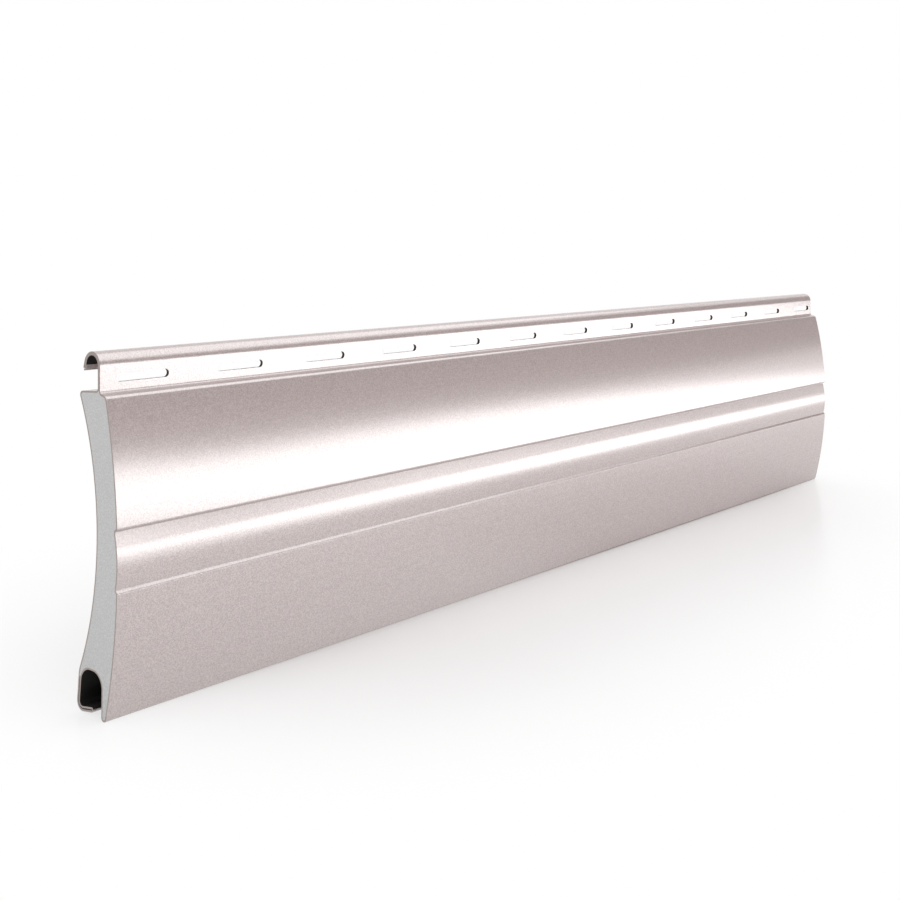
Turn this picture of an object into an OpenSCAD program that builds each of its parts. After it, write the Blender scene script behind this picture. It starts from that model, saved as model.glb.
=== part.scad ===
// Foam-filled roller shutter slat: one sawn length of the curtain's profile.
// It lies along X, its outer face looks to -Y, and it stands on its toe with the hook at the top.
// A single painted strip is rolled into the whole section, edge to edge. Its painted side is
// drawn below as one line of corners with bend radii. The strip's other side lies one sheet
// thickness to the left of that line, and the foam fills what that other side encloses.

/* [Length] */
// Length of the sawn slat
slat_l = 382; // [60:1:1000]

/* [Strip] */
// Thickness of the aluminium strip
sheet_t = 0.44; // [0.36:0.01:0.5]
// Gap between the two layers of the neck and the hook
layer_gap = 0.03; // [0.02:0.01:0.08]
// Gap between the two layers of the pocket's back wall
wall_gap = 0.25; // [0.04:0.01:0.3]

/* [Faces] */
// Height from the toe to the back shoulder, which is what one slat covers
cover_h = 77; // [75:0.5:80]
// Thickness at the waist, over both skins
waist_t = 8.55; // [8:0.05:9.2]
// How far the crown of the front stands out from the neck
crown_d = 7.15; // [6.8:0.05:7.6]
// Radius of the bowed front
front_r = 151; // [140:1:180]
// Radius of the hollow back
back_r = 78.5; // [74:0.5:90]
// How much lower the front shoulder meets the neck than the back one
shoulder_step = 0.5; // [0.2:0.05:1]
// Fall of the front shoulder from the neck to the face
front_fall = 0.6; // [0.4:0.05:1.2]
// Fall of the back shoulder from the neck to the back
back_fall = 0.5; // [0.2:0.05:1]
// Outside radius of the front shoulder
front_shoulder_r = 1.15; // [0.8:0.05:1.6]
// Outside radius of the back shoulder
back_shoulder_r = 1.1; // [0.8:0.1:1.4]
// Radius in the corner of the neck and the front shoulder
front_fillet_r = 0.6; // [0.4:0.05:1]
// Radius in the corner of the neck and the back shoulder
back_fillet_r = 0.7; // [0.4:0.05:0.9]

/* [Bead] */
// Width of the bead between its two grooves
bead_w = 13.5; // [10:0.1:16]
// Radius of the bead's round face
bead_r = 24; // [20:0.5:28]
// How far the bead's crest lies behind the crown
bead_inset = 0.1; // [0:0.05:0.4]
// How far the bead's crest lies below the crown
bead_drop = 0.95; // [0:0.05:1.2]
// Height of the flat flank between the bead's round face and its upper groove
bead_flank_h = 3.4; // [1:0.1:4]
// Height of the step down into each groove
groove_h = 0.65; // [0.5:0.05:0.9]
// Outside radius of a groove's edge
groove_edge_r = 0.56; // [0.52:0.01:0.65]
// Radius in the bottom of a groove
groove_root_r = 0.2; // [0.1:0.02:0.3]

/* [Hook] */
// Height of the hook's top above the back shoulder
head_h = 9.15; // [8.5:0.05:10.5]
// Outside radius of the hook
hook_r = 3.3; // [3:0.05:3.6]
// Height of the hook from its top to its tip
hook_h = 4.7; // [4.2:0.05:5.2]
// Flare of the outer layer's leg, in degrees
hook_flare = 16; // [8:1:18]
// Reach of the inner layer's curl under the outer layer
curl_w = 1; // [0.8:0.05:1.2]
// Outside radius of the curl
curl_r = 0.55; // [0.52:0.01:0.65]
// Gap between the curl and the outer layer's edge
curl_gap = 0.12; // [0.06:0.02:0.3]

/* [Light slots] */
// Length of a slot over its round ends
slot_l = 15; // [8:0.5:24]
// Width of a slot
slot_w = 2; // [1:0.1:2.2]
// Pitch of the slots
slot_pitch = 30; // [28:0.5:60]
// Height of the slots above the back shoulder
slot_rise = 2.8; // [2.6:0.1:3]
// From the left end to the first slot
slot_margin = 4.5; // [2:0.5:20]
// Least metal between the last slot and the right end
slot_end_margin = 2; // [1:0.5:20]

/* [Pocket] */
// Width of the pocket under its arch
pocket_w = 8.3; // [7.8:0.05:8.6]
// Height of the pocket's arch above the toe
pocket_h = 10.9; // [10:0.1:12]
// Radius of the arch's two shoulders
arch_r = 3.6; // [3:0.1:3.8]
// Thickness of the toe, where the strip folds under
toe_w = 1.75; // [1.5:0.05:2]
// Outside radius of the toe's fold
toe_r = 0.9; // [0.7:0.05:1]
// Height at which the back wall leaves the hollow back
wall_h = 10; // [9:0.1:12]
// Lean of the back wall, in degrees
wall_lean = 6.2; // [2:0.2:8]
// Radius of the bend between the hollow back and the back wall
wall_bend_r = 4; // [1:0.5:6]

/* [Lip] */
// Width of the mouth between the toe and the hemmed lip
mouth_w = 3.3; // [2.8:0.1:4]
// Thickness of the hemmed lip
lip_t = 1.2; // [1.1:0.05:1.4]
// Rise of the lip towards the mouth, in degrees
lip_slope = 9.3; // [5:0.1:12]
// Outside radius of the heel, where the lip meets the back wall
heel_r = 2.3; // [2:0.1:2.8]

/* [Foam] */
// How far the foam rises between the layers above the back shoulder
foam_peak = 0.25; // [0.1:0.05:0.5]
// How far the foam reaches down behind the pocket's arch
foam_tail = 2.6; // [1.8:0.1:3]

/* [Hidden] */

// Turn of one facet in a bend, in degrees, and length of one facet on a bowed face
facet_turn = 10;
facet_l = 2;
// How far a cutter runs past what it cuts
cut_over = 1;
// Points closer than this are one point
same_point = 0.001;

crown_y = -crown_d;
hollow_y = crown_y + waist_t;
neck_front_z = cover_h - shoulder_step;
face_top_z = neck_front_z - front_fall;
back_top_z = cover_h - back_fall;
crown_z = neck_front_z / 2;
hollow_z = (wall_h + back_top_z) / 2;

bead_top_z = crown_z + bead_w / 2;
bead_bottom_z = crown_z - bead_w / 2;
bead_crest_z = crown_z - bead_drop;
bead_flank_z = bead_top_z - bead_flank_h;
bead_flank_tilt = asin((bead_flank_z - bead_crest_z) / bead_r);
bead_top_y = bead_y(bead_flank_z) + bead_flank_h * tan(bead_flank_tilt);

neck_t = 2 * sheet_t + layer_gap;
top_z = cover_h + head_h;
inner_top_z = top_z - neck_t;
inner_leg_y = 2 * hook_r - neck_t;
curl_z = top_z - hook_h;
edge_z = curl_z + sheet_t + curl_gap + sheet_t * sin(hook_flare);
hook_corner_y = hook_r * (1 + tan((90 - hook_flare) / 2));
edge_y = hook_corner_y + (top_z - edge_z) * tan(hook_flare);

heel_y = back_y(wall_h) + wall_h * tan(wall_lean);
wall_run = (2 * sheet_t + wall_gap) / cos(wall_lean);
lip_run = lip_t / cos(lip_slope);
pocket_corner_r = heel_r - lip_t;
pocket_corner_z = (lip_run + wall_run * tan(lip_slope)) / (1 - tan(wall_lean) * tan(lip_slope));
toe_back_y = front_y(0) + toe_w;
pocket_front_y = wall_y(pocket_h) - wall_run - pocket_w;
hem_y = toe_back_y + mouth_w;
tail_z = pocket_h - foam_tail;

function bow_y(crest_y, crest_z, r, z) = crest_y + r - sqrt(r * r - (z - crest_z) * (z - crest_z));
function front_y(z) = bow_y(crown_y, crown_z, front_r, z);
function back_y(z) = bow_y(hollow_y, hollow_z, back_r, z);
function bead_y(z) = bow_y(crown_y + bead_inset, bead_crest_z, bead_r, z);
function wall_y(z) = heel_y - z * tan(wall_lean);
function lip_z(y) = (heel_y - y) * tan(lip_slope);

// Heights between two ends of a bowed face, one facet apart, without the ends
function between(z0, z1) =
    let (n = ceil(abs(z1 - z0) / facet_l))
    [for (i = [1 : 1 : n - 1]) z0 + (z1 - z0) * i / n];

// Corners of the painted side, as [y, z, bend radius], from one cut edge of the strip to the other
outer_head = [
    [edge_y, edge_z, 0],
    [hook_corner_y, top_z, hook_r],
    [0, top_z, hook_r],
    [0, neck_front_z, front_fillet_r],
];
front_face = concat(
    [[front_y(face_top_z), face_top_z, front_shoulder_r]],
    [for (z = between(face_top_z, bead_top_z + groove_h)) [front_y(z), z, 0]],
    [[front_y(bead_top_z + groove_h), bead_top_z + groove_h, groove_edge_r]],
    [[bead_top_y, bead_top_z, groove_root_r], [bead_y(bead_flank_z), bead_flank_z, 0]],
    [for (z = between(bead_flank_z, bead_bottom_z)) [bead_y(z), z, 0]],
    [[bead_y(bead_bottom_z), bead_bottom_z, groove_root_r]],
    [[front_y(bead_bottom_z - groove_h), bead_bottom_z - groove_h, groove_edge_r]],
    [for (z = between(bead_bottom_z - groove_h, 0)) [front_y(z), z, 0]]
);
toe_and_pocket = [
    [front_y(0), 0, toe_r],
    [toe_back_y, 0, toe_r],
    [pocket_front_y, pocket_h, arch_r],
    [wall_y(pocket_h) - wall_run, pocket_h, arch_r],
    [wall_y(pocket_corner_z) - wall_run, pocket_corner_z, pocket_corner_r],
];
lip_and_heel = [
    [hem_y, lip_z(hem_y) + lip_run, lip_t / 2],
    [hem_y, lip_z(hem_y), lip_t / 2],
    [heel_y, 0, heel_r],
];
back_face = concat(
    [[wall_y(tail_z + sheet_t), tail_z + sheet_t, 0]],
    [[back_y(wall_h), wall_h, wall_bend_r]],
    [for (z = between(wall_h, back_top_z)) [back_y(z), z, 0]],
    [[back_y(back_top_z), back_top_z, back_shoulder_r]]
);
inner_head = [
    [neck_t, cover_h, back_fillet_r],
    [neck_t, inner_top_z, hook_r - neck_t],
    [inner_leg_y, inner_top_z, hook_r - neck_t],
    [inner_leg_y, curl_z, curl_r],
    [inner_leg_y + curl_w, curl_z, 0],
];
painted_corners = concat(outer_head, front_face, toe_and_pocket, lip_and_heel, back_face, inner_head);

// Geometry of corner i of a line of corners
function point(corners, i) = [corners[i][0], corners[i][1]];
function heading(corners, i) =
    let (run = point(corners, i + 1) - point(corners, i))
    atan2(run[1], run[0]);
function is_end(corners, i) = i == 0 || i == len(corners) - 1;
function turn(corners, i) =
    let (raw = heading(corners, i) - heading(corners, i - 1))
    raw > 180 ? raw - 360 : raw < -180 ? raw + 360 : raw;
// Straight length that a bend takes from the runs on both sides of its corner
function bend_run(corners, i) =
    is_end(corners, i) ? 0 : corners[i][2] * tan(abs(turn(corners, i)) / 2);
// Where two bends need more than the run between them, both shrink by the same share
function room(corners, i) =
    norm(point(corners, i + 1) - point(corners, i)) / max(bend_run(corners, i) + bend_run(corners, i + 1), same_point);
// Points of the bend at corner i
function bend(corners, i) =
    is_end(corners, i) || corners[i][2] == 0 ? [point(corners, i)] :
    let (
        fit = min(1, room(corners, i - 1), room(corners, i)),
        r = corners[i][2] * fit,
        way = turn(corners, i),
        start = heading(corners, i - 1),
        side = way > 0 ? 1 : -1,
        first = point(corners, i) - fit * bend_run(corners, i) * [cos(start), sin(start)],
        centre = first + side * r * [-sin(start), cos(start)],
        n = max(2, ceil(abs(way) / facet_turn))
    )
    [for (k = [0 : n]) centre + side * r * [sin(start + way * k / n), -cos(start + way * k / n)]];
function bent(corners) =
    let (line = [for (i = [0 : len(corners) - 1]) each bend(corners, i)])
    [for (i = [0 : len(line) - 1]) if (i == 0 || norm(line[i] - line[max(i - 1, 0)]) > same_point) line[i]];

// A line moved to its left by d, square to each of its runs
function moved_left(line, d) = [for (i = [0 : len(line) - 1])
    let (
        before = heading(line, max(i - 1, 0)),
        after = heading(line, min(i, len(line) - 2)),
        half = (after - before + 540) % 360 / 2 - 90,
        square = before + half + 90
    )
    line[i] + d / cos(half) * [cos(square), sin(square)]];

painted_side = bent(painted_corners);
core_side = moved_left(painted_side, sheet_t);
skin_outline = concat(painted_side, [for (i = [len(core_side) - 1 : -1 : 0]) core_side[i]]);
// The foam stops where the layers close on each other: under the neck, and behind the pocket's arch
foam_outline = [for (p = core_side) if (p[1] < cover_h + foam_peak && (p[0] < 0 || p[1] > tail_z)) p];

section_ys = [for (p = painted_side) p[0]];
middle_y = (min(section_ys) + max(section_ys)) / 2;

slots = floor((slat_l - slot_margin - slot_l - slot_end_margin) / slot_pitch) + 1;

// Turns a section drawn in y and z into a bar along X, centred over the origin
module along_slat() {
    translate([-slat_l / 2, -middle_y, 0])
        rotate([90, 0, 90])
            linear_extrude(slat_l)
                children();
}

// One punch through both layers of the neck, with its left end at x
module slot_punch(x) {
    translate([x - slat_l / 2, neck_t + cut_over - middle_y, cover_h + slot_rise])
        rotate([90, 0, 0]) {
            depth = neck_t + 2 * cut_over;
            straight = slot_l - slot_w;
            for (end_x = [slot_w / 2, slot_w / 2 + straight])
                translate([end_x, 0, 0])
                    cylinder(d = slot_w, h = depth, $fn = 32);
            translate([slot_w / 2, -slot_w / 2, 0])
                cube([straight, slot_w, depth]);
        }
}

// Roll-formed strip: hook, neck, front with its bead, toe, pocket, hemmed lip and back
module skin() {
    color([0.79, 0.74, 0.73])
        difference() {
            along_slat()
                polygon(skin_outline);
            for (i = [0 : 1 : slots - 1])
                slot_punch(slot_margin + i * slot_pitch);
        }
}

// Rigid foam that fills the strip from the neck to the toe
module foam_core() {
    color([0.74, 0.74, 0.74])
        along_slat()
            polygon(foam_outline);
}

skin();
foam_core();
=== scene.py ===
"""Foam-filled roller shutter slat: a sawn length of the profile, standing on its toe in a white studio."""
import math

import bmesh
import bpy
from bpy.props import FloatProperty, IntProperty, PointerProperty, StringProperty
from bpy.types import Operator, Panel, PropertyGroup
from mathutils import Matrix, Quaternion, Vector


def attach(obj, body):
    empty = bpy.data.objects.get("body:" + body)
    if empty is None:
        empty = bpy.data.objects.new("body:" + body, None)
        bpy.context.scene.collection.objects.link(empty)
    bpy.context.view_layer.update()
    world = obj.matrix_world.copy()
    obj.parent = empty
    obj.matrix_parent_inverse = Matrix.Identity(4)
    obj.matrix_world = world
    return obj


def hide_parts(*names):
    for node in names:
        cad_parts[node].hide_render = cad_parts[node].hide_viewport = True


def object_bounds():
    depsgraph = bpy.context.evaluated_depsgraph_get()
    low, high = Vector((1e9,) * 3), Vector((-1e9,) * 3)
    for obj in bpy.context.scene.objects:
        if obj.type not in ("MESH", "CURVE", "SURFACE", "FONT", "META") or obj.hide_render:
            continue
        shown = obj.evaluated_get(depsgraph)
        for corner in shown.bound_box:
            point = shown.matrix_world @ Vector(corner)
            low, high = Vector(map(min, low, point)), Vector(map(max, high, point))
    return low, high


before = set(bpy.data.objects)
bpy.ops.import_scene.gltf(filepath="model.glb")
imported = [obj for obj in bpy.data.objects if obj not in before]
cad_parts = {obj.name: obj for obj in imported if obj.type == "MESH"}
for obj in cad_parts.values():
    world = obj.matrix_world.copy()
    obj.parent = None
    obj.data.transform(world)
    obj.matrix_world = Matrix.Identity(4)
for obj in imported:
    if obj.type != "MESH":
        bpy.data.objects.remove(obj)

bl_info = {
    "name": "Roller Shutter Slat",
    "version": (1, 0, 0),
    "blender": (4, 5, 0),
    "location": "View3D > Sidebar > Shutter Slat",
    "description": "Rolls a foam-filled shutter slat from one painted strip and sets it in a white studio",
    "category": "Add Mesh",
}

MM = 0.001
CAD_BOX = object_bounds()
SLAT_LENGTH = CAD_BOX[1][0] - CAD_BOX[0][0]
SLAT_MIDDLE = Vector((0, 0, (CAD_BOX[0][2] + CAD_BOX[1][2]) / 2))
BODY = "root"

# Places of the strip's finishes in its list of materials; the second is the lacquer with painted shade
PAINTED, PAINTED_SHADE, BACK_COAT, SAWN = range(4)

# Points of a section that lie closer together than this are made one
MERGE_DISTANCE = MM / 1000
# A bend gets at least this many facets, however slight it is
LEAST_FACETS = 2
# Keeps rounding from giving an exact quarter turn one facet more
FACET_SLACK = 0.001
# An edge that turns more than this is shaded sharp
SHARP_ANGLE = math.radians(35)
# How much more the large faces count than the small ones in the smooth shading; 50 is even
LARGE_FACE_WEIGHT = 75
# Weights that differ by less than this count as equal
WEIGHT_THRESHOLD = 0.0001


def length(name, default_mm, description):
    """A length property, given in millimetres"""
    return FloatProperty(
        name=name, description=description, default=default_mm * MM, unit="LENGTH", precision=5
    )


def angle(name, default_degrees, description):
    """An angle property, given in degrees"""
    return FloatProperty(
        name=name, description=description, default=math.radians(default_degrees), subtype="ANGLE"
    )


def number(name, default, description):
    """A property that is a plain number"""
    return FloatProperty(name=name, description=description, default=default)


def colour(name, default, description):
    """A colour property, written as sRGB hex"""
    return StringProperty(name=name, description=description, default=default)


# Sizes and colours


class SlatSection(PropertyGroup):
    """Sizes of the rolled section"""

    slat_l: length("Length", SLAT_LENGTH / MM, "Length of the sawn slat")
    sheet_t: length("Sheet", 0.44, "Thickness of the aluminium strip")
    layer_gap: length("Layer gap", 0.03, "Gap between the two layers of the neck and the hook")
    wall_gap: length("Wall gap", 0.25, "Gap between the two layers of the pocket's back wall")
    cover_h: length("Cover height", 77, "Height from the toe to the back shoulder")
    waist_t: length("Waist", 8.55, "Thickness at the waist, over both skins")
    crown_d: length("Crown", 7.15, "How far the crown of the front stands out from the neck")
    front_r: length("Front radius", 151, "Radius of the bowed front")
    back_r: length("Back radius", 78.5, "Radius of the hollow back")
    shoulder_step: length("Shoulder step", 0.5, "How much lower the neck ends in front than at the back")
    front_fall: length("Front fall", 0.6, "Fall of the front shoulder from the neck to the face")
    back_fall: length("Back fall", 0.5, "Fall of the back shoulder from the neck to the back")
    front_shoulder_r: length("Front shoulder radius", 1.15, "Outside radius of the front shoulder")
    back_shoulder_r: length("Back shoulder radius", 1.1, "Outside radius of the back shoulder")
    front_fillet_r: length("Front fillet", 0.6, "Radius in the corner of the neck and the front shoulder")
    back_fillet_r: length("Back fillet", 0.7, "Radius in the corner of the neck and the back shoulder")
    bead_w: length("Bead width", 13.5, "Width of the bead between its two grooves")
    bead_r: length("Bead radius", 24, "Radius of the bead's round face")
    bead_inset: length("Bead inset", 0.1, "How far the bead's crest lies behind the crown")
    bead_drop: length("Bead drop", 0.95, "How far the bead's crest lies below the crown")
    bead_flank_h: length("Bead flank", 3.4, "Height of the bead's flat flank under the upper groove")
    groove_h: length("Groove step", 0.65, "Height of the step down into each groove")
    groove_edge_r: length("Groove edge", 0.56, "Outside radius of a groove's edge")
    groove_root_r: length("Groove root", 0.2, "Radius in the bottom of a groove")
    head_h: length("Head height", 9.15, "Height of the hook's top above the back shoulder")
    hook_r: length("Hook radius", 3.3, "Outside radius of the hook")
    hook_h: length("Hook height", 4.7, "Height of the hook from its top to its tip")
    hook_flare: angle("Hook flare", 16, "Flare of the outer layer's leg")
    curl_w: length("Curl reach", 1, "Reach of the inner layer's curl under the outer layer")
    curl_r: length("Curl radius", 0.55, "Outside radius of the curl")
    curl_gap: length("Curl gap", 0.12, "Gap between the curl and the outer layer's edge")
    pocket_w: length("Pocket width", 8.3, "Width of the pocket under its arch")
    pocket_h: length("Pocket height", 10.9, "Height of the pocket's arch above the toe")
    arch_r: length("Arch radius", 3.6, "Radius of the arch's two shoulders")
    toe_w: length("Toe width", 1.75, "Thickness of the toe, where the strip folds under")
    toe_r: length("Toe radius", 0.9, "Outside radius of the toe's fold")
    wall_h: length("Back wall height", 10, "Height at which the back wall leaves the hollow back")
    wall_lean: angle("Back wall lean", 6.2, "Lean of the back wall")
    wall_bend_r: length("Back wall bend", 4, "Radius of the bend between the hollow back and the back wall")
    mouth_w: length("Mouth", 3.3, "Width of the mouth between the toe and the hemmed lip")
    lip_t: length("Lip thickness", 1.2, "Thickness of the hemmed lip")
    lip_slope: angle("Lip slope", 9.3, "Rise of the lip towards the mouth")
    # The part's source has 2.3; bends here aren't exact arcs, and 2.35 keeps the heel inside the CAD box
    heel_r: length("Heel radius", 2.35, "Outside radius of the heel, where the lip meets the back wall")
    foam_tail: length("Foam tail", 2.6, "How far the foam reaches down behind the pocket's arch")
    facet_l: length("Facet", 2, "Length of one facet on a bowed face")
    bend_facets: IntProperty(
        name="Bend facets", description="Facets in a quarter turn of a bend", default=9, min=4
    )


class LightSlots(PropertyGroup):
    """Sizes of the punched light slots"""

    slot_l: length("Slot length", 15, "Length of a slot over its round ends")
    slot_w: length("Slot width", 2, "Width of a slot")
    slot_pitch: length("Slot pitch", 30, "Pitch of the slots")
    slot_rise: length("Slot rise", 2.8, "Height of the slots' middle above the back shoulder")
    slot_margin: length("Slot margin", 4.5, "From the left end to the first slot")
    slot_end_margin: length("End margin", 2, "Least metal between the last slot and the right end")
    end_facets: IntProperty(name="End facets", description="Facets round a slot's end", default=12, min=6)


class SlatColours(PropertyGroup):
    """Colours of the slat's finishes and of the stage"""

    paint: colour("Paint", "#A19391", "Champagne pigment of the paint")
    flake: colour("Flake", "#C5B7B5", "Aluminium flake in the paint")
    # Painted shade: the lacquer in the pocket and under the hook's arch is drawn nearly black for the shade
    # there
    painted_shade_colour: colour("Unlit paint", "#1C1918", "Paint in the pocket and the hook, with little light")
    back_coat: colour("Back coat", "#9EA5A8", "Grey primer on the strip's inner side")
    cut_metal: colour("Cut metal", "#A79B97", "Sawn edge of the strip")
    # Painted shade: the punched edge is drawn dark for the shade that falls in the slots
    punched_edge_shade: colour("Punched metal", "#2A2423", "Punched edge, dark with rolling oil")
    foam: colour("Foam", "#DDDDDD", "Cut face of the foam")
    # Painted shade inside the foam's open cells
    foam_cell_shade: colour("Foam cell", "#C5C5C5", "Shade inside the foam's open cells")
    floor: colour("Floor", "#F9F9F9", "White studio floor")
    card: colour("Card", "#050505", "Black card that darkens the front's upper half")


class StudioSizes(PropertyGroup):
    """Places of the camera, the floor and the lamps"""

    camera_x: length("Camera X", -356.8, "Camera along the slat, from its middle")
    camera_y: length("Camera Y", -253, "Camera across the slat, from its middle")
    camera_z: length("Camera height", 113.5, "Height of the camera above the floor")
    camera_turn: angle("Camera turn", 40.882, "Turn of the view from +X towards +Y")
    focal_mm: number("Focal length", 49.64, "Focal length in millimetres")
    sensor_mm: number("Sensor width", 36, "Width of the sensor in millimetres")
    view_drop: number("View drop", 0.2386, "Share of the picture that the view is shifted down")
    view_start: length("View start", 10, "Nearest distance that the camera shows")
    floor_l: length("Floor length", 6000, "Length of the floor")
    floor_front: length("Floor front", -125, "Front edge of the floor, across the slat")
    floor_back: length("Floor back", 4000, "Back edge of the floor, across the slat")
    shadow_x: length("Shadow middle", 10, "Middle of the line round which the floor is shaded")
    shadow_y: length("Shadow line", 22, "Place of that line across the slat")
    shadow_l: length("Shadow length", 190, "Length of that line")
    shadow_near: length("Shadow", 36, "Distance from that line up to which the floor is shaded as it is lit")
    shadow_far: length("Shadow end", 145, "Distance from that line past which the floor is plain white")
    mirror_from: length("Mirror start", -50, "Place along the slat where it begins to mirror the shadow")
    mirror_to: length("Mirror full", 20, "Place along the slat past which it mirrors the shadow in full")
    room_light: number("Room light", 0.81, "Radiance of the room as a lamp")
    lamp_distance: length("Lamp distance", 1500, "Distance of the lamps from the slat")
    strip_turn: angle("Strip turn", -58.2, "Turn of the horizon strip from +X")
    strip_rise: angle("Strip rise", -1.2, "Rise of the horizon strip")
    strip_roll: angle("Strip roll", -7, "How far the horizon strip's end towards +X is tipped up")
    strip_l: length("Strip length", 2600, "Length of the horizon strip")
    strip_h: length("Strip height", 325, "Height of the horizon strip")
    strip_light: number("Strip light", 3.8, "Radiance of the horizon strip")
    low_turn: angle("Low strip turn", -68, "Turn of the low strip from +X")
    low_rise: angle("Low strip rise", -11, "Rise of the low strip")
    low_l: length("Low strip length", 2300, "Length of the low strip")
    low_h: length("Low strip height", 130, "Height of the low strip")
    low_light: number("Low strip light", 1.6, "Radiance of the low strip")
    overhead_turn: angle("Overhead turn", -35, "Turn of the overhead box from +X")
    overhead_rise: angle("Overhead rise", 56, "Rise of the overhead box")
    overhead_l: length("Overhead length", 2000, "Length of the overhead box")
    overhead_h: length("Overhead height", 1000, "Height of the overhead box")
    overhead_light: number("Overhead light", 1.45, "Radiance of the overhead box")
    card_turn: angle("Card turn", -42, "Turn of the black card from +X")
    card_rise: angle("Card rise", 16, "Rise of the black card")
    card_l: length("Card length", 2600, "Length of the black card")
    card_h: length("Card height", 640, "Height of the black card")
    card_distance: length("Card distance", 1400, "Distance of the black card from the slat")


def settings(name):
    """One of the add-on's groups of settings"""
    return getattr(bpy.context.scene, name)


# Finishes


def linear(hex_colour):
    """Linear RGBA of an sRGB hex colour, by the sRGB curve"""
    shares = [int(hex_colour[i:i + 2], 16) / 255 for i in (1, 3, 5)]
    return (*(c / 12.92 if c <= 0.04045 else ((c + 0.055) / 1.055) ** 2.4 for c in shares), 1)


def node(owner, kind, values=None, **inputs):
    """Adds a node to a material or a world. Its values are its settings. Its inputs are its sockets, by name
    or as _ and the socket's number, and each gets a number, a colour or another node's socket."""
    tree = owner.node_tree
    made = tree.nodes.new(kind)
    for key, value in (values or {}).items():
        setattr(made, key, value)
    for key, value in inputs.items():
        socket = made.inputs[int(key[1:])] if key[1:].isdigit() else made.inputs[key.replace("_", " ")]
        if isinstance(value, bpy.types.NodeSocket):
            tree.links.new(value, socket)
        else:
            socket.default_value = value
    return made


def new_material(name):
    """A material without any nodes"""
    material = bpy.data.materials.new(name)
    material.use_nodes = True
    material.node_tree.nodes.clear()
    return material


def finish_material(material, shader):
    """Makes a shader the material's surface"""
    node(material, "ShaderNodeOutputMaterial", Surface=shader.outputs[0])
    return material


def champagne_coil_coating():
    """Coil-coated metallic lacquer, rolled on and stoved: a warm pigment with aluminium flake under a
    clear coat. The eye gets a warm grey with a fine glitter, and white reflections from the clear coat."""
    colours = settings("slat_colours")
    paint = new_material("champagne_coil_coating")
    # A flake is about 0.03 mm wide; it is drawn 0.25 mm wide so that it shows
    flake_w = 0.25 * MM
    place = node(paint, "ShaderNodeTexCoord")
    flakes = node(
        paint, "ShaderNodeTexVoronoi", {"feature": "F1"}, Vector=place.outputs["Object"], Scale=1 / flake_w
    )
    # Each flake has a random colour, and this share of its difference from mid grey is how the flake leans
    lean_share = 0.22
    mid_grey = (0.5, 0.5, 0.5)
    centred = node(
        paint, "ShaderNodeVectorMath", {"operation": "SUBTRACT"}, _0=flakes.outputs["Color"], _1=mid_grey
    )
    lean = node(
        paint, "ShaderNodeVectorMath", {"operation": "SCALE"}, _0=centred.outputs[0], Scale=lean_share
    )
    surface = node(paint, "ShaderNodeNewGeometry")
    leaning = node(
        paint, "ShaderNodeVectorMath", {"operation": "ADD"}, _0=surface.outputs["Normal"], _1=lean.outputs[0]
    )
    flake_normal = node(paint, "ShaderNodeVectorMath", {"operation": "NORMALIZE"}, _0=leaning.outputs[0])
    # The same colour as one value, which seldom leaves this range, gives the share of flake in the pigment
    usual_low, usual_high = 0.2, 0.8
    least_flake, most_flake = 0.18, 0.82
    flake_share = node(
        paint, "ShaderNodeMapRange", {"interpolation_type": "LINEAR"}, Value=flakes.outputs["Color"],
        From_Min=usual_low, From_Max=usual_high, To_Min=least_flake, To_Max=most_flake,
    )
    pigment = node(
        paint, "ShaderNodeMix", {"data_type": "RGBA"},
        _0=flake_share.outputs[0], _6=linear(colours.paint), _7=linear(colours.flake),
    )
    # The coat's IOR is above a real lacquer's, and stands for the sheen of the flakes under it
    shader = node(
        paint, "ShaderNodeBsdfPrincipled",
        Base_Color=pigment.outputs[2], Metallic=0.1, Roughness=0.3, Specular_IOR_Level=0.0,
        Normal=flake_normal.outputs[0], Coat_Weight=1.0, Coat_Roughness=0.195, Coat_IOR=2.3,
    )
    return finish_material(paint, shader)


def scratched(name, hex_colour, roughness, metallic):
    """A plain finish with fine scratches that run along the slat"""
    finish = new_material(name)
    scratch_l = 10 * MM
    scratch_pitch = 0.2 * MM
    scratch_depth = 0.02 * MM
    place = node(finish, "ShaderNodeTexCoord")
    stretched = node(
        finish, "ShaderNodeMapping",
        Vector=place.outputs["Object"], Scale=(1 / scratch_l, 1 / scratch_pitch, 1 / scratch_pitch),
    )
    scratches = node(finish, "ShaderNodeTexNoise", Vector=stretched.outputs[0], Scale=1.0, Detail=2.0)
    bump = node(finish, "ShaderNodeBump", Height=scratches.outputs[0], Strength=0.2, Distance=scratch_depth)
    shader = node(
        finish, "ShaderNodeBsdfPrincipled",
        Base_Color=linear(hex_colour), Metallic=metallic, Roughness=roughness, Normal=bump.outputs[0],
    )
    return finish_material(finish, shader)


def coil_coating_in_painted_shade():
    """The strip's lacquer in the pocket and under the hook's arch, with painted shade: drawn nearly black
    and matt for the shade that falls there
    """
    painted_shade_colour = settings("slat_colours").painted_shade_colour
    return scratched("coil_coating_in_painted_shade", painted_shade_colour, roughness=0.6, metallic=0.0)


def grey_back_coat():
    """Primer, rolled thinly on the strip's inner side: an even, half-matt, cool grey"""
    back_coat = settings("slat_colours").back_coat
    return scratched("grey_back_coat", back_coat, roughness=0.5, metallic=0.0)


def sawn_aluminium_edge():
    """Aluminium cut by a fine saw: a dull, warm silver line round the foam"""
    cut_metal = settings("slat_colours").cut_metal
    return scratched("sawn_aluminium_edge", cut_metal, roughness=0.45, metallic=0.6)


def punched_edge_in_painted_shade():
    """Aluminium sheared by a punch, drawn dark as painted shade: a thin dark line round each slot"""
    punched_edge_shade = settings("slat_colours").punched_edge_shade
    return scratched("punched_edge_in_painted_shade", punched_edge_shade, roughness=0.5, metallic=0.0)


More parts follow.
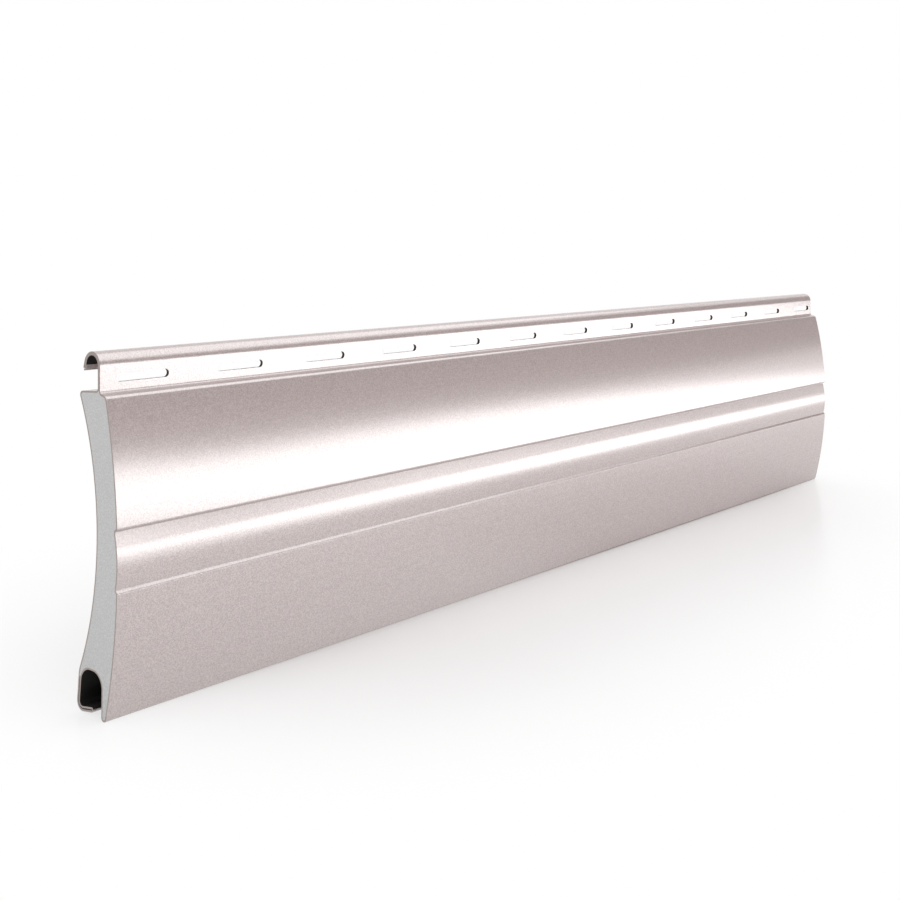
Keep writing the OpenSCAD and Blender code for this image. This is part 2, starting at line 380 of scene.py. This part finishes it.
def rigid_foam():
    """Rigid polyurethane foam, sawn: fine closed cells cut open, so the face is matt and slightly grainy,
    with painted shade inside each open cell
    """
    colours = settings("slat_colours")
    foam = new_material("rigid_polyurethane_foam")
    # Cells are 0.2 to 0.3 mm across; they are drawn 0.4 mm wide so that they show
    cell_w = 0.4 * MM
    cell_depth = 0.15 * MM
    place = node(foam, "ShaderNodeTexCoord")
    cells = node(
        foam, "ShaderNodeTexVoronoi", {"feature": "F1"}, Vector=place.outputs["Object"], Scale=1 / cell_w
    )
    # Painted shade: each cell is drawn darker towards its middle, where shade falls in the open cell
    shade = node(
        foam, "ShaderNodeMix", {"data_type": "RGBA"},
        _0=cells.outputs["Distance"], _6=linear(colours.foam_cell_shade), _7=linear(colours.foam),
    )
    bump = node(foam, "ShaderNodeBump", Height=cells.outputs["Distance"], Strength=0.6, Distance=cell_depth)
    shader = node(
        foam, "ShaderNodeBsdfPrincipled",
        Base_Color=shade.outputs[2], Roughness=0.9, Specular_IOR_Level=0.2, Normal=bump.outputs[0],
    )
    return finish_material(foam, shader)


# Section of the strip


def bow(crest_y, crest_z, radius, z):
    """Place across the slat of a bowed face at height z"""
    return crest_y + radius - math.sqrt(radius ** 2 - (z - crest_z) ** 2)


def between(start, end, step):
    """Heights between two ends, about one step apart, without the ends"""
    count = math.ceil(abs(end - start) / step)
    return [start + (end - start) * i / count for i in range(1, count)]


def neck_t(size):
    """Thickness of the neck, with both layers of the sheet"""
    return 2 * size.sheet_t + size.layer_gap


def neck_front_z(size):
    """Height at which the neck's front meets the front shoulder"""
    return size.cover_h - size.shoulder_step


def back_top_z(size):
    """Height of the hollow back's upper end"""
    return size.cover_h - size.back_fall


def crown_z(size):
    """Height of the front's crown, and of the bead's middle"""
    return neck_front_z(size) / 2


def hook_tip_z(size):
    """Height of the hook's tip, where the inner layer curls under the outer one"""
    return size.cover_h + size.head_h - size.hook_h


def front_y(size, z):
    """Place across the slat of the bowed front at height z"""
    return bow(-size.crown_d, crown_z(size), size.front_r, z)


def back_y(size, z):
    """Place across the slat of the hollow back at height z"""
    return bow(size.waist_t - size.crown_d, (size.wall_h + back_top_z(size)) / 2, size.back_r, z)


def wall_y(size, z):
    """Place across the slat of the leaning back wall's outer side at height z"""
    return back_y(size, size.wall_h) + size.wall_h * math.tan(size.wall_lean) - z * math.tan(size.wall_lean)


def outer_head(size):
    """Corners of the hook's outer layer, from its cut edge, and of the neck's front"""
    top_z = size.cover_h + size.head_h
    edge_z = hook_tip_z(size) + size.sheet_t + size.curl_gap + size.sheet_t * math.sin(size.hook_flare)
    corner_y = size.hook_r * (1 + math.tan((math.pi / 2 - size.hook_flare) / 2))
    edge_y = corner_y + (top_z - edge_z) * math.tan(size.hook_flare)
    return [
        (edge_y, edge_z, 0),
        (corner_y, top_z, size.hook_r),
        (0, top_z, size.hook_r),
        (0, neck_front_z(size), size.front_fillet_r),
    ]


def bead(size, top_z, bottom_z):
    """Corners of the bead: its flat flank under the upper groove, then its round face"""
    crest_z = crown_z(size) - size.bead_drop
    flank_z = top_z - size.bead_flank_h
    flank_tilt = math.asin((flank_z - crest_z) / size.bead_r)

    def round_y(z):
        return bow(size.bead_inset - size.crown_d, crest_z, size.bead_r, z)

    top_y = round_y(flank_z) + size.bead_flank_h * math.tan(flank_tilt)
    flank = [(top_y, top_z, size.groove_root_r), (round_y(flank_z), flank_z, 0)]
    round_face = [(round_y(z), z, 0) for z in between(flank_z, bottom_z, size.facet_l)]
    return flank + round_face + [(round_y(bottom_z), bottom_z, size.groove_root_r)]


def front_face(size):
    """Corners of the bowed front with its bead, from the front shoulder down to just above the toe"""
    top_z = neck_front_z(size) - size.front_fall
    bead_top_z = crown_z(size) + size.bead_w / 2
    bead_bottom_z = crown_z(size) - size.bead_w / 2
    upper_edge_z = bead_top_z + size.groove_h
    lower_edge_z = bead_bottom_z - size.groove_h
    upper = [(front_y(size, top_z), top_z, size.front_shoulder_r)]
    upper += [(front_y(size, z), z, 0) for z in between(top_z, upper_edge_z, size.facet_l)]
    upper += [(front_y(size, upper_edge_z), upper_edge_z, size.groove_edge_r)]
    lower = [(front_y(size, lower_edge_z), lower_edge_z, size.groove_edge_r)]
    lower += [(front_y(size, z), z, 0) for z in between(lower_edge_z, 0, size.facet_l)]
    return upper + bead(size, bead_top_z, bead_bottom_z) + lower


def toe_and_pocket(size):
    """Corners of the toe's fold, the pocket's arch and the foot of the back wall's inner side"""
    wall_run = (2 * size.sheet_t + size.wall_gap) / math.cos(size.wall_lean)
    arch_back_y = wall_y(size, size.pocket_h) - wall_run
    lip_run = size.lip_t / math.cos(size.lip_slope)
    lip_grade = math.tan(size.lip_slope)
    foot_z = (lip_run + wall_run * lip_grade) / (1 - math.tan(size.wall_lean) * lip_grade)
    return [
        (front_y(size, 0), 0, size.toe_r),
        (front_y(size, 0) + size.toe_w, 0, size.toe_r),
        (arch_back_y - size.pocket_w, size.pocket_h, size.arch_r),
        (arch_back_y, size.pocket_h, size.arch_r),
        (wall_y(size, foot_z) - wall_run, foot_z, size.heel_r - size.lip_t),
    ]


def lip_and_heel(size):
    """Corners of the hem at the lip's edge, and of the heel"""
    hem_y = front_y(size, 0) + size.toe_w + size.mouth_w
    hem_z = (wall_y(size, 0) - hem_y) * math.tan(size.lip_slope)
    return [
        (hem_y, hem_z + size.lip_t / math.cos(size.lip_slope), size.lip_t / 2),
        (hem_y, hem_z, size.lip_t / 2),
        (wall_y(size, 0), 0, size.heel_r),
    ]


def back_face(size):
    """Corners of the back wall's outer side and of the hollow back, up to the back shoulder"""
    tail_z = size.pocket_h - size.foam_tail + size.sheet_t
    top_z = back_top_z(size)
    wall = [(wall_y(size, tail_z), tail_z, 0), (back_y(size, size.wall_h), size.wall_h, size.wall_bend_r)]
    hollow = [(back_y(size, z), z, 0) for z in between(size.wall_h, top_z, size.facet_l)]
    return wall + hollow + [(back_y(size, top_z), top_z, size.back_shoulder_r)]


def inner_head(size):
    """Corners of the neck's back and of the hook's inner layer, up to the cut edge of its curl"""
    top_z = size.cover_h + size.head_h - neck_t(size)
    leg_y = 2 * size.hook_r - neck_t(size)
    return [
        (neck_t(size), size.cover_h, size.back_fillet_r),
        (neck_t(size), top_z, size.hook_r - neck_t(size)),
        (leg_y, top_z, size.hook_r - neck_t(size)),
        (leg_y, hook_tip_z(size), size.curl_r),
        (leg_y + size.curl_w, hook_tip_z(size), 0),
    ]


def painted_corners(size):
    """Corners of the strip's painted side, from one cut edge to the other. Each is a place across the slat,
    from the neck's front face, a height, from the toe, and the bend's radius."""
    stretches = (outer_head, front_face, toe_and_pocket, lip_and_heel, back_face, inner_head)
    return [corner for stretch in stretches for corner in stretch(size)]


# Rolling and punching


def only_verts(result):
    """The vertices among the geometry that a bmesh operator returned"""
    return [part for part in result["geom"] if isinstance(part, bmesh.types.BMVert)]


def rectangle(width, depth):
    """A new bmesh with one flat rectangle round the origin"""
    mesh = bmesh.new()
    # The grid's size is half its side, so this one is 1 m square
    bmesh.ops.create_grid(mesh, x_segments=1, y_segments=1, size=0.5)
    bmesh.ops.scale(mesh, verts=mesh.verts, vec=(width, depth, 1))
    return mesh


def bend_corner(mesh, corner, before, after, radius, quarter_facets):
    """Rounds one corner of a chain of edges to a radius"""
    came = (corner.co - before).normalized()
    goes = (after - corner.co).normalized()
    turn = came.angle(goes)
    facets = max(LEAST_FACETS, math.ceil(turn / (math.pi / 2) * quarter_facets - FACET_SLACK))
    bmesh.ops.bevel(
        mesh, geom=[corner], offset=radius * math.tan(turn / 2), offset_type="ABSOLUTE",
        segments=facets, profile=0.5, affect="VERTICES", material=-1, clamp_overlap=True,
    )


def mark_painted_shade(mesh, size):
    """Gives the lacquer with painted shade to the painted faces that look into the pocket or down from the
    hook's arch
    """
    half_w = max(corner.co.y for corner in mesh.verts)
    wall_t = 2 * size.sheet_t + size.wall_gap
    pocket = Vector((0, half_w - wall_t - size.pocket_w / 2, size.pocket_h / 2))
    spring_z = size.cover_h + size.head_h - size.hook_r
    for face in mesh.faces:
        centre = face.calc_center_median()
        in_pocket = centre.z < size.pocket_h + size.sheet_t and face.normal.dot(pocket - centre) > 0
        in_hook = centre.z > spring_z and face.normal.z < 0
        face.material_index = PAINTED_SHADE if in_pocket or in_hook else PAINTED


def rolled_strip(size):
    """The strip's painted side: its section as a chain of edges, bent at its corners, drawn out along X"""
    corners = painted_corners(size)
    mesh = bmesh.new()
    chain = [mesh.verts.new((-size.slat_l / 2, y, z)) for y, z, _ in corners]
    for start, end in zip(chain, chain[1:]):
        mesh.edges.new((start, end))
    places = [corner.co.copy() for corner in chain]
    for i, (_, _, radius) in enumerate(corners):
        if radius:
            bend_corner(mesh, chain[i], places[i - 1], places[i + 1], radius, size.bend_facets)
    bmesh.ops.remove_doubles(mesh, verts=mesh.verts, dist=MERGE_DISTANCE)
    across = [corner.co.y for corner in mesh.verts]
    bmesh.ops.translate(mesh, verts=mesh.verts, vec=(0, -(min(across) + max(across)) / 2, 0))
    drawn = bmesh.ops.extrude_edge_only(mesh, edges=mesh.edges)
    bmesh.ops.translate(mesh, verts=only_verts(drawn), vec=(size.slat_l, 0, 0))
    bmesh.ops.recalc_face_normals(mesh, faces=mesh.faces)
    mark_painted_shade(mesh, size)
    return mesh


def slot_punches(size, slots):
    """One closed bar with round ends for each light slot"""
    punches = rectangle(slots.slot_l, slots.slot_w)
    bmesh.ops.bevel(
        punches, geom=punches.verts, offset=slots.slot_w / 2, offset_type="ABSOLUTE",
        segments=slots.end_facets, profile=0.5, affect="VERTICES", material=-1,
    )
    bmesh.ops.remove_doubles(punches, verts=punches.verts, dist=MERGE_DISTANCE)
    bmesh.ops.rotate(punches, verts=punches.verts, matrix=Matrix.Rotation(math.pi / 2, 3, "X"))
    reach = 2 * size.crown_d
    drawn = bmesh.ops.extrude_face_region(punches, geom=punches.faces)
    bmesh.ops.translate(punches, verts=only_verts(drawn), vec=(0, reach, 0))
    first_x = (slots.slot_l - size.slat_l) / 2 + slots.slot_margin
    rise = size.cover_h + slots.slot_rise
    bmesh.ops.translate(punches, verts=punches.verts, vec=(first_x, -reach / 2, rise))
    first = punches.verts[:] + punches.edges[:] + punches.faces[:]
    margins = slots.slot_margin + slots.slot_l + slots.slot_end_margin
    for i in range(1, math.floor((size.slat_l - margins) / slots.slot_pitch) + 1):
        copied = bmesh.ops.duplicate(punches, geom=first)
        bmesh.ops.translate(punches, verts=only_verts(copied), vec=(i * slots.slot_pitch, 0, 0))
    bmesh.ops.recalc_face_normals(punches, faces=punches.faces)
    return punches


def as_object(mesh, name, materials):
    """Links a bmesh as a new object with its materials"""
    data = bpy.data.meshes.new(name)
    mesh.to_mesh(data)
    mesh.free()
    for material in materials:
        data.materials.append(material)
    piece = bpy.data.objects.new(name, data)
    bpy.context.scene.collection.objects.link(piece)
    return piece


def apply_modifiers(piece):
    """Applies a piece's modifiers to its mesh"""
    graph = bpy.context.evaluated_depsgraph_get()
    shaped = bpy.data.meshes.new_from_object(piece.evaluated_get(graph))
    piece.modifiers.clear()
    piece.data = shaped


def thicken(strip, size):
    """Gives the painted side the sheet's thickness, with the back coat behind it and sawn metal round it"""
    sheet = strip.modifiers.new("sheet", "SOLIDIFY")
    sheet.thickness = size.sheet_t
    # The whole thickness lies behind the painted side
    sheet.offset = -1
    sheet.use_even_offset = True
    sheet.material_offset = BACK_COAT
    sheet.material_offset_rim = SAWN
    apply_modifiers(strip)


def punch_slots(strip, size):
    """Punches the light slots through both layers of the neck"""
    # The punched edges get painted shade: they are drawn dark
    punches = as_object(slot_punches(size, settings("slat_slots")), "slot_punches", [punched_edge_in_painted_shade()])
    cut = strip.modifiers.new("light_slots", "BOOLEAN")
    cut.operation = "DIFFERENCE"
    cut.solver = "EXACT"
    cut.material_mode = "TRANSFER"
    cut.object = punches
    apply_modifiers(strip)
    bpy.data.objects.remove(punches)


def smooth_but_for_edges(piece):
    """Shades a piece smooth, with its cut and punched edges sharp and its flat faces flat"""
    piece.data.shade_smooth()
    piece.data.set_sharp_from_angle(angle=SHARP_ANGLE)
    weighted = piece.modifiers.new("flat_faces", "WEIGHTED_NORMAL")
    weighted.keep_sharp = True
    weighted.weight = LARGE_FACE_WEIGHT
    weighted.thresh = WEIGHT_THRESHOLD


# The slat's two pieces


class SLAT_OT_skin(Operator):
    """Rolls the painted strip and punches its light slots"""

    bl_idname = "slat.skin"
    bl_label = "Rolled Strip"

    def execute(self, context):
        size = settings("slat_section")
        # The second finish is the lacquer with painted shade, for the pocket and the hook's arch
        finishes = [champagne_coil_coating(), coil_coating_in_painted_shade(), grey_back_coat(), sawn_aluminium_edge()]
        strip = as_object(rolled_strip(size), "rolled_strip", finishes)
        thicken(strip, size)
        punch_slots(strip, size)
        smooth_but_for_edges(strip)
        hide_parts("skin")
        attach(strip, BODY)
        return {"FINISHED"}


class SLAT_OT_foam(Operator):
    """Gives the foam core its sawn face"""

    bl_idname = "slat.foam"
    bl_label = "Foam Core"

    def execute(self, context):
        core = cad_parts["foam_core"]
        core.data.materials.clear()
        core.data.materials.append(rigid_foam())
        return {"FINISHED"}


# Studio


def gloss_or_glass(owner, path):
    """One for the rays that a gloss or a glass sends on, zero for the rest"""
    return node(
        owner, "ShaderNodeMath", {"operation": "MAXIMUM"},
        _0=path.outputs["Is Glossy Ray"], _1=path.outputs["Is Transmission Ray"],
    )


def clear_of_shadow(floor, spot):
    """Zero on the floor round the shadow's line, one away from it, with a smooth change between them"""
    studio = settings("slat_studio")
    along = node(
        floor, "ShaderNodeMath", {"operation": "SUBTRACT"}, _0=spot.outputs["X"], _1=studio.shadow_x
    )
    along = node(floor, "ShaderNodeMath", {"operation": "ABSOLUTE"}, _0=along.outputs[0])
    past_end = node(
        floor, "ShaderNodeMath", {"operation": "SUBTRACT"}, _0=along.outputs[0], _1=studio.shadow_l / 2
    )
    past_end = node(floor, "ShaderNodeMath", {"operation": "MAXIMUM"}, _0=past_end.outputs[0], _1=0.0)
    beside = node(
        floor, "ShaderNodeMath", {"operation": "SUBTRACT"}, _0=spot.outputs["Y"], _1=studio.shadow_y
    )
    away = node(floor, "ShaderNodeCombineXYZ", X=past_end.outputs[0], Y=beside.outputs[0])
    distance = node(floor, "ShaderNodeVectorMath", {"operation": "LENGTH"}, _0=away.outputs[0])
    return node(
        floor, "ShaderNodeMapRange", {"interpolation_type": "SMOOTHSTEP"},
        Value=distance.outputs["Value"], From_Min=studio.shadow_near, From_Max=studio.shadow_far,
    )


def white_studio_floor():
    """Satin white board. The eye gets the slat's soft shadow, and plain white away from it. The near half of
    the slat mirrors a floor without the shadow, the far half one with it."""
    studio = settings("slat_studio")
    floor = new_material("white_studio_floor")
    place = node(floor, "ShaderNodeTexCoord")
    spot = node(floor, "ShaderNodeSeparateXYZ", Vector=place.outputs["Object"])
    clear = clear_of_shadow(floor, spot)
    path = node(floor, "ShaderNodeLightPath")
    viewed = node(
        floor, "ShaderNodeMath", {"operation": "MULTIPLY"},
        _0=clear.outputs[0], _1=path.outputs["Is Camera Ray"],
    )
    near_half = node(
        floor, "ShaderNodeMapRange", Value=spot.outputs["X"],
        From_Min=studio.mirror_from, From_Max=studio.mirror_to, To_Min=1.0, To_Max=0.0,
    )
    near_or_clear = node(
        floor, "ShaderNodeMath", {"operation": "MAXIMUM"}, _0=near_half.outputs[0], _1=clear.outputs[0]
    )
    mirrored = node(
        floor, "ShaderNodeMath", {"operation": "MULTIPLY"},
        _0=gloss_or_glass(floor, path).outputs[0], _1=near_or_clear.outputs[0],
    )
    white_share = node(
        floor, "ShaderNodeMath", {"operation": "MAXIMUM"}, _0=viewed.outputs[0], _1=mirrored.outputs[0]
    )
    lit = node(
        floor, "ShaderNodeBsdfPrincipled",
        Base_Color=linear(settings("slat_colours").floor), Roughness=0.25, Specular_IOR_Level=0.25,
    )
    white = node(floor, "ShaderNodeEmission", Strength=1.0)
    both = node(
        floor, "ShaderNodeMixShader", _0=white_share.outputs[0], _1=lit.outputs[0], _2=white.outputs[0]
    )
    return finish_material(floor, both)


def studio_floor():
    """The floor under the slat, which reaches far behind it and only a little way in front"""
    studio = settings("slat_studio")
    depth = studio.floor_back - studio.floor_front
    mesh = rectangle(studio.floor_l, depth)
    bmesh.ops.translate(mesh, verts=mesh.verts, vec=(0, studio.floor_front + depth / 2, 0))
    return as_object(mesh, "floor", [white_studio_floor()])


def studio_world():
    """A plain white room, a little dimmer as a lamp than it looks"""
    world = bpy.data.worlds.new("white_room")
    world.use_nodes = True
    world.node_tree.nodes.clear()
    path = node(world, "ShaderNodeLightPath")
    looked_at = node(
        world, "ShaderNodeMath", {"operation": "MAXIMUM"},
        _0=path.outputs["Is Camera Ray"], _1=gloss_or_glass(world, path).outputs[0],
    )
    strength = node(
        world, "ShaderNodeMapRange",
        Value=looked_at.outputs[0], To_Min=settings("slat_studio").room_light, To_Max=1.0,
    )
    white = node(world, "ShaderNodeBackground", Color=(1, 1, 1, 1), Strength=strength.outputs[0])
    node(world, "ShaderNodeOutputWorld", Surface=white.outputs[0])
    bpy.context.scene.world = world


def towards(turn, rise, distance):
    """A place at a distance from the slat's middle, at a turn from +X and a rise above the horizon"""
    flat = distance * math.cos(rise)
    return SLAT_MIDDLE + Vector((flat * math.cos(turn), flat * math.sin(turn), distance * math.sin(rise)))


def facing_slat(place):
    """The turn at a place that points -Z, the way a lamp shines, at the slat's middle"""
    return (place - SLAT_MIDDLE).to_track_quat("Z", "Y")


def softbox(name, place, width, height, radiance, roll=0.0, shape="RECTANGLE"):
    """A soft lamp of an even radiance, turned towards the slat's middle and not seen by the camera"""
    lamp = bpy.data.lights.new(name, "AREA")
    lamp.shape = shape
    lamp.size = width
    lamp.size_y = height
    area = width * height * (math.pi / 4 if shape == "ELLIPSE" else 1)
    # A flat lamp's power is its radiance times pi times its area
    lamp.energy = radiance * math.pi * area
    box = bpy.data.objects.new(name, lamp)
    box.location = place
    box.rotation_euler = (facing_slat(place) @ Quaternion((0, 0, 1), roll)).to_euler()
    box.visible_camera = False
    bpy.context.scene.collection.objects.link(box)


def black_card():
    """A black card in front of the slat, above the horizon strip, that darkens the front's upper half"""
    studio = settings("slat_studio")
    black = new_material("black_card")
    shader = node(
        black, "ShaderNodeBsdfPrincipled",
        Base_Color=linear(settings("slat_colours").card), Roughness=1.0, Specular_IOR_Level=0.0,
    )
    finish_material(black, shader)
    mesh = rectangle(studio.card_l, studio.card_h)
    place = towards(studio.card_turn, studio.card_rise, studio.card_distance)
    facing = facing_slat(place).to_matrix().to_4x4()
    bmesh.ops.transform(mesh, verts=mesh.verts, matrix=Matrix.Translation(place) @ facing)
    card = as_object(mesh, "black_card", [black])
    card.visible_camera = False
    return card


def studio_camera():
    """The photograph's camera: level, with the view shifted down"""
    studio = settings("slat_studio")
    lens = bpy.data.cameras.new("camera")
    lens.sensor_width = studio.sensor_mm
    lens.lens = studio.focal_mm
    lens.shift_y = -studio.view_drop
    lens.clip_start = studio.view_start
    camera = bpy.data.objects.new("camera", lens)
    camera.location = (studio.camera_x, studio.camera_y, studio.camera_z)
    camera.rotation_euler = (math.pi / 2, 0, studio.camera_turn - math.pi / 2)
    bpy.context.scene.collection.objects.link(camera)
    bpy.context.scene.camera = camera


class SLAT_OT_studio(Operator):
    """Sets up the floor, the card, the room, the lamps and the camera"""

    bl_idname = "slat.studio"
    bl_label = "White Studio"

    def execute(self, context):
        studio = settings("slat_studio")
        context.scene.view_settings.view_transform = "Standard"
        studio_floor()
        black_card()
        studio_world()
        softbox(
            "horizon_strip", towards(studio.strip_turn, studio.strip_rise, studio.lamp_distance),
            studio.strip_l, studio.strip_h, studio.strip_light, studio.strip_roll, "ELLIPSE",
        )
        softbox(
            "low_strip", towards(studio.low_turn, studio.low_rise, studio.lamp_distance),
            studio.low_l, studio.low_h, studio.low_light, shape="ELLIPSE",
        )
        softbox(
            "overhead_box", towards(studio.overhead_turn, studio.overhead_rise, studio.lamp_distance),
            studio.overhead_l, studio.overhead_h, studio.overhead_light,
        )
        studio_camera()
        return {"FINISHED"}


# Add-on


class SLAT_PT_panel(Panel):
    """Buttons for the slat's pieces and the studio"""

    bl_label = "Shutter Slat"
    bl_idname = "SLAT_PT_panel"
    bl_space_type = "VIEW_3D"
    bl_region_type = "UI"
    bl_category = "Shutter Slat"

    def draw(self, context):
        for piece in (SLAT_OT_skin, SLAT_OT_foam, SLAT_OT_studio):
            self.layout.operator(piece.bl_idname)


GROUPS = {
    "slat_section": SlatSection,
    "slat_slots": LightSlots,
    "slat_colours": SlatColours,
    "slat_studio": StudioSizes,
}
CLASSES = (*GROUPS.values(), SLAT_OT_skin, SLAT_OT_foam, SLAT_OT_studio, SLAT_PT_panel)


def register():
    """Registers the classes and gives the scene its groups of settings"""
    for made in CLASSES:
        bpy.utils.register_class(made)
    for name, group in GROUPS.items():
        setattr(bpy.types.Scene, name, PointerProperty(type=group))


def unregister():
    """Takes back what register did"""
    for name in GROUPS:
        delattr(bpy.types.Scene, name)
    for made in reversed(CLASSES):
        bpy.utils.unregister_class(made)


def main():
    """Builds the slat and its studio"""
    register()
    bpy.ops.slat.skin()
    bpy.ops.slat.foam()
    bpy.ops.slat.studio()


if __name__ == "__main__":
    main()
